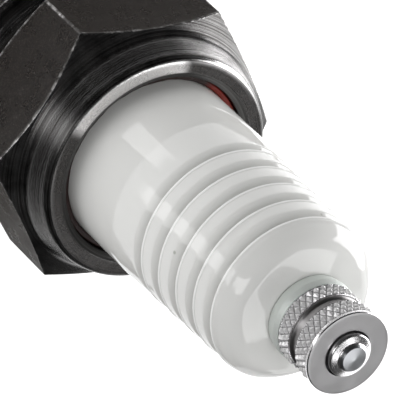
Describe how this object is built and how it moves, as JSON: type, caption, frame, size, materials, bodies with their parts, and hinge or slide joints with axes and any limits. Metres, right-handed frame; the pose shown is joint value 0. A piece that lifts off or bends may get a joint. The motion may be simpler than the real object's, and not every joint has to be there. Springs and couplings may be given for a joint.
{
  "type": "spark plug",
  "caption": "Short-body spark plug: ribbed ceramic insulator in a hex steel shell with a threaded end, hooked ground electrode, crush gasket and knurled screw-off terminal nut.",
  "frame": {"origin": "on the plug's axis at the underside of the outer gasket, which is the plane that seals against the cylinder head", "axes": "+Z along the plug's axis towards the terminal nut; +X square to a pair of wrench flats and towards the ground electrode's leg; +Y completes the right-handed frame"},
  "size_m": [0.0194, 0.022, 0.0592],
  "materials": {
    "shell_steel": "black oxide over turned steel, semi-gloss, with fine turning marks and bright worn edges",
    "insulator_ceramic": "glossy clear glaze on slightly warm off-white alumina",
    "terminal_plating": "bright nickel-plated steel, diamond-knurled bands, satin end face",
    "electrode_nickel": "drawn nickel alloy, satin",
    "gasket_steel": "zinc-plated folded sheet steel",
    "packing_steel": "plain steel wire",
    "copper": "bright copper",
    "talc": "pressed powder, matte",
    "seal_red": "dark red cured sealing compound",
    "glass_seal": "dark copper-filled conductive glass",
    "resistor_carbon": "carbon-filled glass, matte"
  },
  "bodies": {
    "plug_body": {"shell": "shell_steel", "ground_electrode": "electrode_nickel", "seat_washer": "copper", "lower_packing_ring": "packing_steel", "talc_packing": "talc", "upper_packing_ring": "packing_steel", "lip_seal": "seal_red", "insulator": "insulator_ceramic", "centre_electrode": "electrode_nickel", "copper_core": "copper", "lower_glass_seal": "glass_seal", "resistor": "resistor_carbon", "upper_glass_seal": "glass_seal", "terminal_stud": "terminal_plating"},
    "terminal_nut": {"terminal_nut": "terminal_plating"},
    "outer_gasket": {"outer_gasket": "gasket_steel"}
  },
  "joints": [
    {"name": "nut_unscrew", "type": "slide", "parent": "plug_body", "child": "terminal_nut", "axis": [0, 0, 1], "range_m": [0, 0.0045]},
    {"name": "gasket_turn", "type": "hinge", "parent": "plug_body", "child": "outer_gasket", "pos_m": [0, 0, 0.0009], "axis": [0, 0, 1], "continuous": true}
  ]
}
